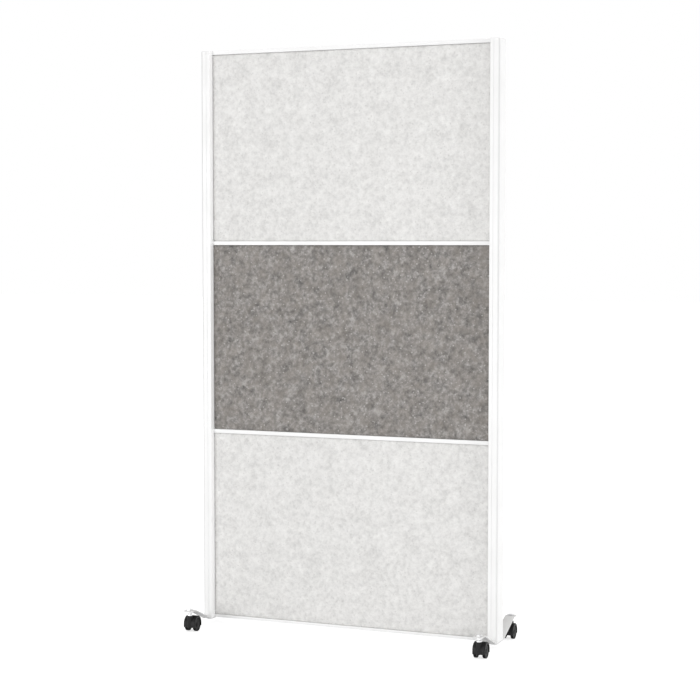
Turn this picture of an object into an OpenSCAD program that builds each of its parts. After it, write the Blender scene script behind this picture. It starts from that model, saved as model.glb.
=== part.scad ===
// Free-standing acoustic divider screen: two extruded posts, four rails, three felt-faced panels
// and two bent feet on twin-wheel swivel casters. Lengths are in millimetres.
// The origin is on the floor, midway between the posts. X runs along the width, -Y is the front
// and +Z is up.

/* [Screen] */
// Height from the floor to the top of the frame
screen_h = 1800; // [1400:10:2200]
// Width over both posts
screen_w = 972; // [600:2:1600]
// Height of the frame's lower end above the floor
frame_low = 21; // [17:1:30]

/* [Posts] */
// Width of a post, seen from the front
post_w = 30; // [28:1:44]
// Depth of a post, front to back
post_d = 64; // [64:1:90]
// Radius of a post's two outer corners
post_r = 6; // [4:0.5:8]
// Radius of a post's two inner corners, beside the felts
post_inner_r = 2; // [1.5:0.5:4]
// Wall of the post extrusion
post_wall = 2.2; // [2:0.1:2.6]
// How deep the panel slot runs into a post
post_slot_depth = 11; // [9:0.5:12]
// Width of the fine groove along the post's front and back
groove_w = 2.2; // [1:0.1:3]
// Depth of the fine groove
groove_depth = 1; // [0.4:0.1:1.2]
// Distance of the fine groove from the post's inner face
groove_inset = 12; // [9:0.5:16]
// Thickness of the cap on a post
cap_t = 3; // [2:0.5:4]

/* [Rails] */
// Height of a rail, seen from the front
rail_h = 12; // [12:0.5:18]
// Height of the lowest rail, which holds a panel on its upper side alone
bottom_rail_h = 8.5; // [8:0.5:14]
// How far a rail stands proud of the felt
rail_proud = 3; // [3:0.5:6]
// Wall of the rail extrusion
rail_wall = 1.6; // [1.4:0.1:1.8]
// Depth of the slot along a rail that takes a panel's edge
rail_slot_depth = 4.5; // [4:0.1:5]
// Radius of a rail's long edges
rail_r = 1; // [0.5:0.1:1.4]

/* [Panels] */
// Thickness of a panel's core board
core_t = 10; // [10:0.5:14]
// Thickness of the felt on each face
felt_t = 9; // [9:0.5:14]
// Gap between the felt and the frame round it
felt_gap = 1.5; // [0.8:0.1:3]
// Thickness of the gasket in a post's slot
gasket_t = 0.8; // [0.6:0.1:1.2]

/* [Feet] */
// Thickness of the flat bar that a foot is bent from
foot_t = 3.5; // [3:0.5:5]
// Radius of the bar's bends, at its middle line
foot_bend_r = 6; // [4:0.5:8]
// Length of flat bar in front of and behind the post
foot_land = 2; // [1.5:0.5:6]
// Distance from the post's middle to a caster's stem
pivot_y = 155; // [130:1:220]
// Length of flat bar between a stem and the bend next to it
tab_in = 12; // [12:0.5:16]
// Length of flat bar beyond a stem
tab_out = 14; // [12:0.5:30]
// Radius of the corners at the bar's ends
tab_r = 5; // [2:0.5:8]

/* [Casters] */
// Radius of a wheel over its tyre
wheel_r = 20; // [20:0.5:32]
// Width of one wheel
wheel_w = 9.5; // [9:0.5:16]
// Space between the two wheels of a caster
wheel_gap = 18; // [16:0.5:24]
// Thickness of the tyre
tyre_t = 2.5; // [2:0.25:3.5]
// Distance from the stem's axis to the axle
trail = 18; // [16:0.5:22]
// Clearance between the tyres and the hood over them
hood_gap = 1; // [1:0.5:3]
// Thickness of the hood
hood_t = 2.7; // [2.5:0.1:4]
// How much taller the hood is than a round one
hood_lift = 4.6; // [0:0.1:8]
// How far the hood reaches below the axle
hood_skirt = 6; // [3:0.5:8]
// Radius of the axle
axle_r = 3; // [2.5:0.25:3.5]
// Radius of the stem's pin inside the housing
pin_r = 4; // [3.5:0.25:4.5]
// Radius of the stem's threaded end
stem_r = 5; // [4.5:0.25:5.5]
// Height of the collar that the housing turns under
collar_h = 4.5; // [3:0.5:6]
// Length of bare thread between the collar and the lower lock nut
thread_show = 3.5; // [1:0.5:20]

/* [Hidden] */
$fn = 48;
// one overrun serves every cut
over = 1;
// clearances: turning fit and pressed fit on the radius, sliding fit and loose fit on each side
turn_clear = 0.05;
press_clear = 0.02;
slide_clear = 0.2;
loose_clear = 0.3;

// frame
RAILS = 4;
post_x = screen_w / 2 - post_w / 2;
inner_w = screen_w - 2 * post_w;
post_h = screen_h - cap_t - frame_low;
panel_h = (screen_h - frame_low - bottom_rail_h) / (RAILS - 1) - rail_h;
function panel_z(i) = frame_low + bottom_rail_h + i * (panel_h + rail_h);
function rail_z(i) = i == 0 ? frame_low : panel_z(i) - rail_h;

// rail section
rail_d = core_t + 2 * felt_t + 2 * rail_proud;
rail_slot_w = core_t + 2 * slide_clear;
core_in = rail_slot_depth - slide_clear;

// post section
post_slot_w = core_t + 2 * gasket_t;
core_end = post_slot_depth - gasket_t - slide_clear;

// screws that tie the rails to the posts
rail_screw_r = 2;
rail_screw_grip = 20;
rail_screw_head_r = 3.5;
rail_screw_head_h = 2.8;
rail_screw_room = 0.7;
rail_port_wall = 1;
rail_port_seat = 0.4;
rail_port_z = rail_screw_r + rail_port_wall + rail_port_seat;
rail_screw_y = post_slot_w / 2 + post_wall + rail_screw_head_r + rail_screw_room;
function rail_screw_z(i) = rail_z(i) + (i == 0 ? bottom_rail_h - rail_port_z : rail_port_z);

// plugs over the holes that a driver goes in by
plug_clear = 0.1;
plug_r = rail_screw_head_r + loose_clear;
plug_tail_h = 0.8;

// screws that tie a foot to its post, and their ports along the post
foot_screw_r = 2.55;
foot_screw_grip = 30;
foot_screw_head_r = 5.2;
foot_screw_head_h = 4;
port_r = 5;
port_bite = 0.2;
port_y = post_d / 2 - post_wall - port_r + port_bite;

// post cap
cap_edge = 1.2;
cap_lip = 0.3;
cap_leg_h = 14;
cap_leg_wall = 1.6;
cap_pin_h = 10;

// caster: hood, web and neck
hood_r = wheel_r + hood_gap + hood_t;
hood_edge = 2.4;
hood_side = 1;
hood_half_w = wheel_gap / 2 + wheel_w + hood_side;
hood_low = wheel_r - hood_skirt;
web_clear = 0.4;
web_half = wheel_gap / 2 - web_clear;
boss_wall = 6;
neck_wall = 4.5;
neck_r = pin_r + neck_wall;
neck_rise = 2.5;
neck_edge = 1;
neck_z = wheel_r + hood_lift + hood_r + neck_rise;

// caster: axle and wheel
axle_cover = 2.5;
axle_reach = wheel_w - axle_cover;
hub_wall = 4;
hub_r = axle_r + hub_wall;
rim_t = 3;
rim_inset = 0.6;
rim_edge = 0.3;
wheel_disc_t = 3.4;
wheel_dish = 1.2;
wheel_dome = 0.3;
tyre_inset = 0.6;
tyre_edge = 0.3;
tyre_round = 0.9;

// caster: stem, with the clip in its groove
pin_floor = 4;
pin_bottom_z = hood_low + pin_floor;
collar_z = neck_z + loose_clear;
collar_flats = 14;
nut_flats = 17;
lower_nut_h = 5;
upper_nut_h = 4;
thread_end = 0.5;
stem_hole_clear = 0.25;
lower_nut_z = collar_z + collar_h + thread_show;
tab_low = lower_nut_z + lower_nut_h;
stem_top_z = tab_low + foot_t + upper_nut_h + thread_end;
clip_t = 1.2;
clip_proud = 1.1;
clip_bite = 0.6;
clip_top = 1.5;
clip_gap = 3;
clip_out_r = pin_r + clip_proud;
clip_in_r = pin_r - clip_bite;
clip_z = neck_z - neck_edge - clip_top - clip_t;

// foot
foot_low = frame_low - foot_t;
foot_hole_clear = 0.75;
bend_steps = 6;

// corners and sides: name, side in X, side in Y
CORNERS = [
    ["front_left", -1, -1], ["front_right", 1, -1], ["back_left", -1, 1], ["back_right", 1, 1]
];
SIDES = [["left", -1], ["right", 1]];
PANELS = ["bottom", "middle", "top"];
RAIL_NAMES = ["bottom_rail", "lower_rail", "upper_rail", "top_rail"];

// a rectangle with round corners, centred
module round_rect(w, d, r) {
    square([w - 2 * r, d], center = true);
    square([w, d - 2 * r], center = true);
    for (x = [-1, 1], y = [-1, 1])
        translate([x * (w / 2 - r), y * (d / 2 - r)]) circle(r);
}

// a flat outline in Y and Z, drawn out along X and centred on it
module along_x(length) {
    translate([-length / 2, 0, 0]) rotate([90, 0, 90]) linear_extrude(length) children();
}

// a round bar along X that starts at x0
module bar_x(x0, length, r) {
    translate([x0, 0, 0]) rotate([0, 90, 0]) cylinder(h = length, r = r);
}

// drawn for the right side, mirrored for the left
module on_side(s) {
    mirror([s < 0 ? 1 : 0, 0, 0]) translate([post_x, 0, 0]) children();
}

// every place where a screw ties a rail to a post
module at_rail_screws() {
    for (i = [0:RAILS - 1], y = [-1, 1])
        translate([0, y * rail_screw_y, rail_screw_z(i)]) children();
}

// a post's outline, drawn in by inset, with its inner face at -X
module post_outline(inset) {
    hull() for (x = [-1, 1], y = [-1, 1]) let (r = (x < 0 ? post_inner_r : post_r) - inset)
        translate([x * (post_w / 2 - inset - r), y * (post_d / 2 - inset - r)]) circle(r);
}

// the post's section: the panel slot opens in its inner face
module post_section() {
    in_w = post_w - 2 * post_wall;
    in_d = post_d - 2 * post_wall;
    rib = post_slot_w / 2 + post_wall;
    slot_end = post_slot_depth - post_w / 2;
    difference() {
        post_outline(0);
        translate([-post_w / 2 - over, -post_slot_w / 2])
            square([post_slot_depth + over, post_slot_w]);
        difference() {
            round_rect(in_w, in_d, post_r - post_wall);
            translate([-post_w / 2, -rib]) square([post_w, 2 * rib]);
            for (y = [-1, 1]) translate([0, y * port_y]) circle(port_r);
        }
        translate([slot_end + post_wall, -post_slot_w / 2])
            square([in_w / 2 - slot_end - post_wall, post_slot_w]);
        for (y = [-1, 1]) {
            translate([0, y * port_y]) circle(foot_screw_r + turn_clear);
            translate([groove_inset - post_w / 2, y * post_d / 2])
                square([groove_w, 2 * groove_depth], center = true);
        }
    }
}

module post() {
    color("white") difference() {
        translate([0, 0, frame_low]) linear_extrude(post_h) post_section();
        at_rail_screws() {
            bar_x(post_w / 2 - post_wall - over, post_wall + 2 * over, plug_r + plug_clear);
            bar_x(-post_w / 2 - over, post_wall + 2 * over, rail_screw_r + slide_clear);
        }
    }
}

module post_cap() {
    leg_x = post_slot_depth + post_wall - post_w / 2 + loose_clear;
    leg_w = post_w / 2 - post_wall - loose_clear - leg_x;
    leg_d = post_slot_w - 2 * loose_clear;
    color("white") translate([0, 0, screen_h - cap_t]) {
        linear_extrude(cap_t - cap_edge) post_outline(0);
        translate([0, 0, cap_t - cap_edge]) hull($fn = 32) {
            linear_extrude(cap_lip) post_outline(0);
            linear_extrude(cap_edge) post_outline(cap_edge);
        }
        translate([leg_x, -leg_d / 2, -cap_leg_h]) difference() {
            cube([leg_w, leg_d, cap_leg_h]);
            translate([cap_leg_wall, cap_leg_wall, -over])
                cube([leg_w - 2 * cap_leg_wall, leg_d - 2 * cap_leg_wall, cap_leg_h + over]);
        }
        for (y = [-1, 1]) translate([0, y * port_y, -cap_pin_h])
            cylinder(h = cap_pin_h, r = foot_screw_r);
    }
}

// a soft channel that grips the panel cores in a post's slot
module panel_gasket() {
    color("dimgray") translate([-post_w / 2, 0, frame_low]) linear_extrude(post_h) difference() {
        translate([0, -post_slot_w / 2]) square([post_slot_depth, post_slot_w]);
        translate([-over, -core_t / 2]) square([post_slot_depth - gasket_t + over, core_t]);
    }
}

// pan-head screws that run from inside a post into the rails' screw ports
module rail_screws() {
    seat = post_wall - post_w / 2;
    color("silver") at_rail_screws() {
        bar_x(seat, rail_screw_head_h, rail_screw_head_r);
        bar_x(seat - post_wall - rail_screw_grip, post_wall + rail_screw_grip, rail_screw_r);
    }
}

// push-in plugs, flush with a post's outer face
module hole_plugs() {
    color("white") at_rail_screws() {
        bar_x(post_w / 2 - post_wall, post_wall, plug_r);
        bar_x(post_w / 2 - post_wall - plug_tail_h, plug_tail_h, plug_r - loose_clear);
    }
}

// a rail's section in Y and Z, standing on its lower face, screw ports low, with panel slots
// from the heights in slot_starts
module rail_section(h, slot_starts) {
    slot = rail_slot_w / 2;
    room = rail_d / 2 - 2 * rail_wall - slot;
    difference() {
        translate([0, h / 2]) round_rect(rail_d, h, rail_r);
        for (z = slot_starts)
            translate([-slot, z]) square([rail_slot_w, rail_slot_depth + over]);
        for (y = [0, 1]) mirror([y, 0]) difference() {
            translate([slot + rail_wall, rail_wall]) square([room, h - 2 * rail_wall]);
            translate([rail_screw_y, rail_port_z]) circle(rail_screw_r + rail_port_wall);
            translate([slot, rail_port_z - rail_wall / 2])
                square([rail_screw_y - slot, rail_wall]);
        }
        for (y = [-1, 1]) translate([y * rail_screw_y, rail_port_z])
            circle(rail_screw_r + turn_clear);
    }
}

// the lowest rail is turned over, which keeps its screws clear of the foot
module rail(i) {
    color("white") if (i == 0)
        translate([0, 0, frame_low + bottom_rail_h]) mirror([0, 0, 1]) along_x(inner_w)
            rail_section(bottom_rail_h, [-over]);
    else
        translate([0, 0, rail_z(i)]) along_x(inner_w)
            rail_section(rail_h, [-over, rail_h - rail_slot_depth]);
}

// strip that closes the top rail's upper slot
module top_rail_cover() {
    w = rail_slot_w - 2 * slide_clear;
    color("white") translate([0, 0, screen_h - rail_slot_depth]) along_x(inner_w) difference() {
        translate([-w / 2, 0]) square([w, rail_slot_depth]);
        translate([rail_wall - w / 2, -over])
            square([w - 2 * rail_wall, rail_slot_depth - rail_wall + over]);
    }
}

module panel_core(i) {
    w = inner_w + 2 * core_end;
    h = panel_h + 2 * core_in;
    color("darkgray") translate([-w / 2, -core_t / 2, panel_z(i) - core_in]) cube([w, core_t, h]);
}

// y is -1 for the front face and 1 for the back
module felt(i, y) {
    w = inner_w - 2 * felt_gap;
    h = panel_h - 2 * felt_gap;
    color(i == 1 ? [0.53, 0.53, 0.52] : [0.89, 0.89, 0.88])
        translate([-w / 2, y < 0 ? -core_t / 2 - felt_t : core_t / 2, panel_z(i) + felt_gap])
            cube([w, felt_t, h]);
}

// middle line of the bent bar, in Y and Z, from end to end
KNEES = let (
    low = foot_low + foot_t / 2,
    high = tab_low + foot_t / 2,
    near = post_d / 2 + foot_land,
    far = pivot_y - tab_in,
    end = pivot_y + tab_out
) [[-end, high], [-far, high], [-near, low], [near, low], [far, high], [end, high]];

function turned(v, a) = [v.x * cos(a) - v.y * sin(a), v.x * sin(a) + v.y * cos(a)];
// points of a round bend at knee k, from knee a to knee b, moved sideways by half the thickness
function bend(a, k, b, side) = let (
    u = (k - a) / norm(k - a),
    w = (b - k) / norm(b - k),
    turn = atan2(u.x * w.y - u.y * w.x, u * w),
    start = k - u * foot_bend_r * tan(abs(turn) / 2),
    left = turned(u, 90),
    centre = start + sign(turn) * foot_bend_r * left
) [for (i = [0:bend_steps]) centre + turned(start - centre + side * foot_t / 2 * left,
    turn * i / bend_steps)];
function bar_edge(side) = concat(
    [KNEES[0] + [0, side * foot_t / 2]],
    [for (i = [1:len(KNEES) - 2]) each bend(KNEES[i - 1], KNEES[i], KNEES[i + 1], side)],
    [KNEES[len(KNEES) - 1] + [0, side * foot_t / 2]]
);
function reversed(list) = [for (i = [len(list) - 1:-1:0]) list[i]];

// a flat bar bent up at both ends, with holes for the post's screws and the casters' stems
module foot() {
    end = pivot_y + tab_out;
    color("white") difference() {
        intersection() {
            along_x(post_w) polygon(concat(bar_edge(1), reversed(bar_edge(-1))));
            linear_extrude(tab_low + 2 * foot_t) round_rect(post_w, 2 * end, tab_r);
        }
        for (y = [-1, 1]) {
            translate([0, y * port_y, foot_low - over])
                cylinder(h = foot_t + 2 * over, r = foot_screw_r + foot_hole_clear);
            translate([0, y * pivot_y, tab_low - over])
                cylinder(h = foot_t + 2 * over, r = stem_r + stem_hole_clear);
        }
    }
}

module foot_screws() {
    color("silver") for (y = [-1, 1]) translate([0, y * port_y, foot_low]) {
        translate([0, 0, -foot_screw_head_h]) cylinder(h = foot_screw_head_h, r = foot_screw_head_r);
        cylinder(h = foot_t + foot_screw_grip, r = foot_screw_r);
    }
}

// at a caster's stem, with the wheels towards the screen's middle
module at_corner(c) {
    translate([c[1] * post_x, c[2] * pivot_y, 0]) mirror([0, c[2] < 0 ? 1 : 0, 0]) children();
}

module hexagon(flats) {
    circle(r = flats / 2 / cos(30), $fn = 6);
}

// thin hexagon nuts, one per caster
module lock_nuts(z, h) {
    color("silver") for (c = CORNERS) at_corner(c) translate([0, 0, z]) linear_extrude(h)
        difference() {
            hexagon(nut_flats);
            circle(stem_r + turn_clear);
        }
}

module stem() {
    color("silver") difference() {
        union() {
            translate([0, 0, pin_bottom_z + loose_clear])
                cylinder(h = collar_z - pin_bottom_z, r = pin_r);
            translate([0, 0, collar_z]) linear_extrude(collar_h) hexagon(collar_flats);
            translate([0, 0, collar_z]) cylinder(h = stem_top_z - collar_z, r = stem_r);
        }
        translate([0, 0, clip_z]) linear_extrude(clip_t + press_clear) difference() {
            circle(pin_r + over);
            circle(clip_in_r - turn_clear);
        }
    }
}

// spring clips in the stems' grooves; each is trapped in its housing's neck
module stem_clips() {
    color("silver") for (c = CORNERS) at_corner(c) translate([0, 0, clip_z])
        linear_extrude(clip_t) difference() {
            circle(clip_out_r);
            circle(clip_in_r);
            translate([0, -clip_gap / 2]) square([clip_out_r + over, clip_gap]);
        }
}

// hub of the wheels' axle, as seen from the stem
module at_axle() {
    translate([0, -trail, wheel_r]) children();
}

// outside of the hood: round over the wheels and drawn upwards by its lift
module hood() {
    intersection() {
        hull() for (z = [0, hood_lift]) translate([0, 0, z]) at_axle() rotate([0, 90, 0])
            rotate_extrude() intersection() {
                round_rect(2 * hood_r, 2 * hood_half_w, hood_edge);
                translate([0, -hood_half_w]) square([hood_r, 2 * hood_half_w]);
            }
        translate([-hood_half_w, -trail - hood_r, hood_low])
            cube([2 * hood_half_w, 2 * hood_r, neck_z]);
    }
}

// hood over both wheels, web between them and neck round the stem's pin
module housing() {
    color([0.12, 0.12, 0.13]) difference() {
        union() {
            hood();
            at_axle() bar_x(-web_half, 2 * web_half, axle_r + boss_wall);
            translate([0, 0, hood_low]) cylinder(h = neck_z - neck_edge - hood_low, r = neck_r);
            translate([0, 0, neck_z - neck_edge])
                cylinder(h = neck_edge, r1 = neck_r, r2 = neck_r - neck_edge);
        }
        at_axle() {
            for (x = [0, 1]) mirror([x, 0, 0])
                bar_x(web_half, hood_half_w - web_half + over, wheel_r + hood_gap);
            bar_x(-web_half - over, 2 * web_half + 2 * over, axle_r + press_clear);
        }
        translate([0, 0, pin_bottom_z])
            cylinder(h = neck_z - pin_bottom_z + over, r = pin_r + turn_clear);
        translate([0, 0, clip_z - loose_clear])
            cylinder(h = clip_t + 2 * loose_clear, r = clip_out_r + loose_clear);
    }
}

module axle() {
    half = wheel_gap / 2 + axle_reach;
    color("silver") at_axle() bar_x(-half, 2 * half, axle_r);
}

// x is -1 for the left wheel and 1 for the right
module at_wheel(x) {
    at_axle() mirror([x < 0 ? 1 : 0, 0, 0]) translate([wheel_gap / 2, 0, 0]) rotate([0, 90, 0])
        rotate_extrude() children();
}

// section of a wheel: radius, then distance from the wheel's inner face
module wheel(x) {
    bore = axle_r + turn_clear;
    bore_end = axle_reach + loose_clear;
    seat = wheel_r - tyre_t;
    inside = seat - rim_t;
    face = wheel_w - wheel_dish;
    back = face - wheel_disc_t;
    edge = wheel_w - rim_edge;
    color([0.16, 0.16, 0.17]) at_wheel(x) polygon([
        [bore, 0], [hub_r, 0], [hub_r, back], [inside, back], [inside, rim_inset],
        [seat, rim_inset], [seat, edge], [seat - rim_inset, edge], [inside, face],
        [hub_r, face], [hub_r - rim_inset, wheel_w], [0, wheel_w + wheel_dome],
        [0, bore_end], [bore, bore_end]
    ]);
}

module tyre(x) {
    w = wheel_w - tyre_inset - tyre_edge;
    color([0.2, 0.2, 0.2]) at_wheel(x) translate([wheel_r - tyre_t, tyre_inset]) {
        square([tyre_t - tyre_round, w]);
        translate([0, tyre_round]) square([tyre_t, w - 2 * tyre_round]);
        for (z = [tyre_round, w - tyre_round])
            translate([tyre_t - tyre_round, z]) circle(tyre_round);
    }
}

for (s = SIDES) {
    on_side(s[1]) post();
    on_side(s[1]) post_cap();
    on_side(s[1]) panel_gasket();
    on_side(s[1]) rail_screws();
    on_side(s[1]) hole_plugs();
    on_side(s[1]) foot();
    on_side(s[1]) foot_screws();
}
for (i = [0:RAILS - 1])
    rail(i);
top_rail_cover();
for (i = [0:RAILS - 2]) {
    panel_core(i);
    felt(i, -1);
    felt(i, 1);
}
lock_nuts(lower_nut_z, lower_nut_h);  // lower_lock_nuts
lock_nuts(tab_low + foot_t, upper_nut_h);  // upper_lock_nuts
stem_clips();
for (c = CORNERS) {
    at_corner(c) stem();
    at_corner(c) housing();
    at_corner(c) axle();
    for (s = SIDES) {
        at_corner(c) wheel(s[1]);
        at_corner(c) tyre(s[1]);
    }
}
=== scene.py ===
"""Acoustic divider screen: three felt-faced panels between two coated posts, on bent feet with
twin-wheel swivel casters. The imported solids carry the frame. This script gives them their
finishes and adds the felts and the small things that a maker would see up close."""
import math

import bmesh
import bpy
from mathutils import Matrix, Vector


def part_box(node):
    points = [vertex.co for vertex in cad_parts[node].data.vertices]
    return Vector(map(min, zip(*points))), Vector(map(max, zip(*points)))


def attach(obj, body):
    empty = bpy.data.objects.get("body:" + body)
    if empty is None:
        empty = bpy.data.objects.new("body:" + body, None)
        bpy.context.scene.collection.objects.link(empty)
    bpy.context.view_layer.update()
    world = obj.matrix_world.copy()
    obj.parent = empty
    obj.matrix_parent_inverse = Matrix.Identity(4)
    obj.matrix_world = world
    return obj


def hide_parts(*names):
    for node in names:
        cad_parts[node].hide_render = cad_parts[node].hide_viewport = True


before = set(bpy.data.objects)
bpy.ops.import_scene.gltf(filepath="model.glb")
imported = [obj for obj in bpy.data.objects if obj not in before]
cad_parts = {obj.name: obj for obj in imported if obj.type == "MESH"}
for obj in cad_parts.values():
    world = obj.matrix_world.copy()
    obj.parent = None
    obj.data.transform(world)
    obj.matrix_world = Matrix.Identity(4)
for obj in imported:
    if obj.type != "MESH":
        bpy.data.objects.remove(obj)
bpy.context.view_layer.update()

MM = 0.001
PANELS = ("bottom", "middle", "top")
FACES = ("front", "back")


def add_object(name, data):
    """A new object in the scene, at the origin."""
    made = bpy.data.objects.new(name, data)
    bpy.context.scene.collection.objects.link(made)
    return made


def grey(level):
    return (level, level, level, 1.0)


# The camera stands where the photograph was taken from.

CAMERA_PLACE = (2.0401, -4.9313, 1.2039)
CAMERA_LENS_MM = 90.08
CAMERA_SENSOR_MM = 36.0
CAMERA_SIGHT = 100.0
CAMERA_TURN_DEG = 22.451
CAMERA_DIP_DEG = 3.491


def set_camera():
    lens = bpy.data.cameras.new("photo_camera")
    lens.lens = CAMERA_LENS_MM
    lens.sensor_width = CAMERA_SENSOR_MM
    lens.sensor_fit = "HORIZONTAL"
    lens.clip_end = CAMERA_SIGHT
    camera = add_object("photo_camera", lens)
    camera.location = CAMERA_PLACE
    camera.rotation_euler = (
        math.radians(90.0 - CAMERA_DIP_DEG),
        0.0,
        math.radians(CAMERA_TURN_DEG),
    )
    bpy.context.scene.camera = camera


# Small helpers for the node trees

FLOAT = "NodeSocketFloat"
COLOUR = "NodeSocketColor"
VECTOR = "NodeSocketVector"
MATERIAL = "NodeSocketMaterial"


def link(tree, out_socket, in_socket):
    tree.links.new(out_socket, in_socket)


def give(tree, socket, value):
    """Links another socket to this one, or sets a number or colour on it."""
    if isinstance(value, bpy.types.NodeSocket):
        link(tree, value, socket)
    else:
        socket.default_value = value


def new_node(tree, kind, **settings):
    node = tree.nodes.new(kind)
    for name, value in settings.items():
        setattr(node, name, value)
    return node


def feed(tree, node, **values):
    """Gives each input of a node its value by its name, with spaces as underscores."""
    for name, value in values.items():
        give(tree, node.inputs[name.replace("_", " ")], value)
    return node


def sums(tree, operation, first, second=0.0, third=0.0, clamp=False):
    """A Math node, and its result."""
    node = new_node(tree, "ShaderNodeMath", operation=operation, use_clamp=clamp)
    for socket, value in zip(node.inputs, (first, second, third)):
        give(tree, socket, value)
    return node.outputs[0]


def vector_sums(tree, operation, *terms):
    """A Vector Math node, and its result."""
    node = new_node(tree, "ShaderNodeVectorMath", operation=operation)
    for socket, value in zip(node.inputs, terms):
        give(tree, socket, value)
    return node.outputs[0]


def parts_of(tree, vector):
    """The X, Y and Z of a vector, each by its name."""
    node = new_node(tree, "ShaderNodeSeparateXYZ")
    link(tree, vector, node.inputs[0])
    return node.outputs


def vector_of(tree, **parts):
    """A vector from the parts that are named. The others are 0."""
    return feed(tree, new_node(tree, "ShaderNodeCombineXYZ"), **parts).outputs[0]


def rescaled(tree, value, low, high, to_low, to_high):
    """A Map Range node that holds its ends, and its result."""
    node = new_node(tree, "ShaderNodeMapRange", clamp=True)
    feed(tree, node, Value=value, From_Min=low, From_Max=high, To_Min=to_low, To_Max=to_high)
    return node.outputs["Result"]


def blended(tree, share, first, second):
    """A colour Mix node, and its result."""
    node = new_node(tree, "ShaderNodeMix", data_type="RGBA")
    for index, value in ((0, share), (6, first), (7, second)):
        give(tree, node.inputs[index], value)
    return node.outputs[2]


def noise(tree, where, size, detail=2.0, roughness=0.5):
    """Noise whose patches are about size metres across, and its value."""
    node = new_node(tree, "ShaderNodeTexNoise")
    feed(tree, node, Vector=where, Detail=detail, Roughness=roughness)
    if isinstance(size, bpy.types.NodeSocket):
        link(tree, sums(tree, "DIVIDE", 1.0, size), node.inputs["Scale"])
    else:
        node.inputs["Scale"].default_value = 1.0 / size
    return node.outputs["Fac"]


def new_group(name, inputs, outputs):
    """A shader node group with named sockets, and its two end nodes."""
    tree = bpy.data.node_groups.new(name, "ShaderNodeTree")
    for label, kind, value in inputs:
        socket = tree.interface.new_socket(label, in_out="INPUT", socket_type=kind)
        socket.default_value = value
    for label, kind in outputs:
        tree.interface.new_socket(label, in_out="OUTPUT", socket_type=kind)
    return tree, new_node(tree, "NodeGroupInput"), new_node(tree, "NodeGroupOutput")


def place_group(tree, group, **values):
    node = new_node(tree, "ShaderNodeGroup", node_tree=group)
    return feed(tree, node, **values)


def object_point(tree):
    return new_node(tree, "ShaderNodeTexCoord").outputs["Object"]


# The effects that several finishes share

# A spread says where a noise or slope starts and ends to count, and what it gives at each end.
COAT_DRIFT_SPREAD = (0.35, 0.70, 0.0, 1.0)
COAT_SPECK_SIZE = 1.1 * MM
COAT_SPECK_SPREAD = (0.62, 0.80, 0.0, 0.35)
# How the painted shade on the outer corners comes on as a face turns.
COAT_CORNER_SHADE_SPREAD = (0.1, 0.45, 0.0, 1.0)
COAT_GLOSS_SPREAD = (0.3, 0.7, -0.04, 0.05)


def make_coat_group():
    """Sprayed and baked powder: a faint orange peel, tone drift and specks, with painted shade on the
    outer upright corners.
    """
    group, given, result = new_group(
        "powder_coat",
        [
            ("Coat Colour", COLOUR, (0.85, 0.85, 0.85, 1.0)),
            ("Drift Colour", COLOUR, (0.80, 0.80, 0.79, 1.0)),
            ("Peel Size", FLOAT, 2.2 * MM),
            ("Drift Size", FLOAT, 160.0 * MM),
            ("Gloss Roughness", FLOAT, 0.38),
            ("Corner Colour", COLOUR, (0.58, 0.58, 0.58, 1.0)),
            ("Corner Share", FLOAT, 0.0),
        ],
        [("Color", COLOUR), ("Roughness", FLOAT), ("Height", FLOAT)],
    )
    where = object_point(group)
    peel = noise(group, where, given.outputs["Peel Size"], detail=1.0)
    drift = noise(group, where, given.outputs["Drift Size"], detail=3.0)
    drift_share = rescaled(group, drift, *COAT_DRIFT_SPREAD)
    tone = blended(group, drift_share, given.outputs["Coat Colour"], given.outputs["Drift Colour"])
    speck = noise(group, where, COAT_SPECK_SIZE, detail=1.0)
    speck_share = rescaled(group, speck, *COAT_SPECK_SPREAD)
    tone = blended(group, speck_share, tone, given.outputs["Drift Colour"])

    # The outer upright corners are painted grey: painted shade where the rounded corner turns away from
    # the light.
    facing = parts_of(group, new_node(group, "ShaderNodeTexCoord").outputs["Normal"])
    place = parts_of(group, where)
    both_ways = sums(group, "ABSOLUTE", sums(group, "MULTIPLY", facing["X"], facing["Y"]))
    corner_shade = rescaled(group, both_ways, *COAT_CORNER_SHADE_SPREAD)
    outward = sums(group, "MULTIPLY", facing["X"], place["X"])
    corner_shade = sums(group, "MULTIPLY", corner_shade, sums(group, "GREATER_THAN", outward, 0.0))
    corner_shade = sums(group, "MULTIPLY", corner_shade, given.outputs["Corner Share"])
    tone = blended(group, corner_shade, tone, given.outputs["Corner Colour"])
    rough = rescaled(group, drift, *COAT_GLOSS_SPREAD)
    rough = sums(group, "ADD", rough, given.outputs["Gloss Roughness"])
    feed(group, result, Color=tone, Roughness=rough, Height=peel)
    return group


SCUFF_STREAK_SPREAD = (0.60, 0.68, 0.0, 1.0)
SCUFF_PATCH_SPREAD = (0.45, 0.65, 0.0, 1.0)


def make_scuff_group():
    """Fine scuffs that run mostly one way, as a mask from 0 to 1."""
    group, given, result = new_group(
        "scuffs",
        [
            ("Run", VECTOR, (1.0, 1.0, 0.12)),
            ("Scuff Size", FLOAT, 4.0 * MM),
            ("Patch Size", FLOAT, 90.0 * MM),
            ("Cover", FLOAT, 0.5),
        ],
        [("Mask", FLOAT)],
    )
    where = object_point(group)
    stretched = vector_sums(group, "MULTIPLY", where, given.outputs["Run"])
    streak = noise(group, stretched, given.outputs["Scuff Size"], detail=3.0, roughness=0.6)
    streak_share = rescaled(group, streak, *SCUFF_STREAK_SPREAD)
    patch = noise(group, where, given.outputs["Patch Size"], detail=2.0)
    patch_share = rescaled(group, patch, *SCUFF_PATCH_SPREAD)
    share = sums(group, "MULTIPLY", streak_share, patch_share)
    share = sums(group, "MULTIPLY", share, given.outputs["Cover"], clamp=True)
    feed(group, result, Mask=share)
    return group


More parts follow.
